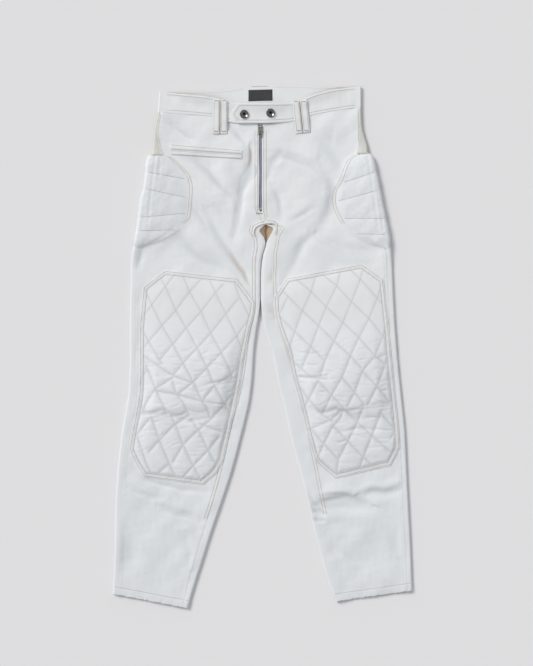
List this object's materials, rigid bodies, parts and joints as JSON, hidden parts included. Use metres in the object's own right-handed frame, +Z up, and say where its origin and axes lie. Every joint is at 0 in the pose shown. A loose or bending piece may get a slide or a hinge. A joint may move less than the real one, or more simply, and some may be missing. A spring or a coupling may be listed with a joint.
{
  "type": "motocross pants",
  "caption": "Riding trousers laid flat, with a snapped waist tab, front zip, welt pocket, quilted hip pads and octagonal quilted knee pads.",
  "frame": {"origin": "middle of the underside of the garment as it lies, on the surface below it", "axes": "+X towards the wearer's left leg, +Y towards the waist, +Z up out of the front"},
  "size_m": [0.598, 1.044, 0.0184],
  "materials": {
    "canvas": "white cotton canvas, matt",
    "quilting": "white canvas quilted over foam, matt",
    "rib": "cream knitted rib, matt",
    "tape": "white woven zip tape, matt",
    "label": "black woven cloth, bare",
    "nickel": "polished nickel plate",
    "zinc": "dark blue-grey plated metal"
  },
  "bodies": {
    "garment": {"front_right": "canvas", "front_left": "canvas", "back_right": "canvas", "back_left": "canvas", "side_right": "rib", "side_left": "rib", "hip_pad_right": "quilting", "hip_pad_left": "quilting", "knee_pad_right": "quilting", "knee_pad_left": "quilting", "waistband_right": "canvas", "waistband_left": "canvas", "waistband_back": "canvas", "loop_front_right_a": "canvas", "loop_front_right_b": "canvas", "loop_front_left_a": "canvas", "loop_front_left_b": "canvas", "loop_back_right_a": "canvas", "loop_back_right_b": "canvas", "loop_back_centre_a": "canvas", "loop_back_centre_b": "canvas", "loop_back_left_a": "canvas", "loop_back_left_b": "canvas", "pocket_welt_upper": "canvas", "pocket_welt_lower": "canvas", "label": "label", "snap_right": "nickel", "snap_left": "nickel", "zip_tape_right": "tape", "zip_tape_left": "tape", "zip_chain": "zinc", "zip_slider": "zinc", "zip_stop": "zinc"},
    "pull": {"zip_pull": "zinc"}
  },
  "joints": [
    {"name": "zip_pull", "type": "hinge", "parent": "garment", "child": "pull", "pos_m": [-0.0042, 0.434, 0.00955], "axis": [-1, 0, 0], "range_deg": [0, 120]}
  ]
}
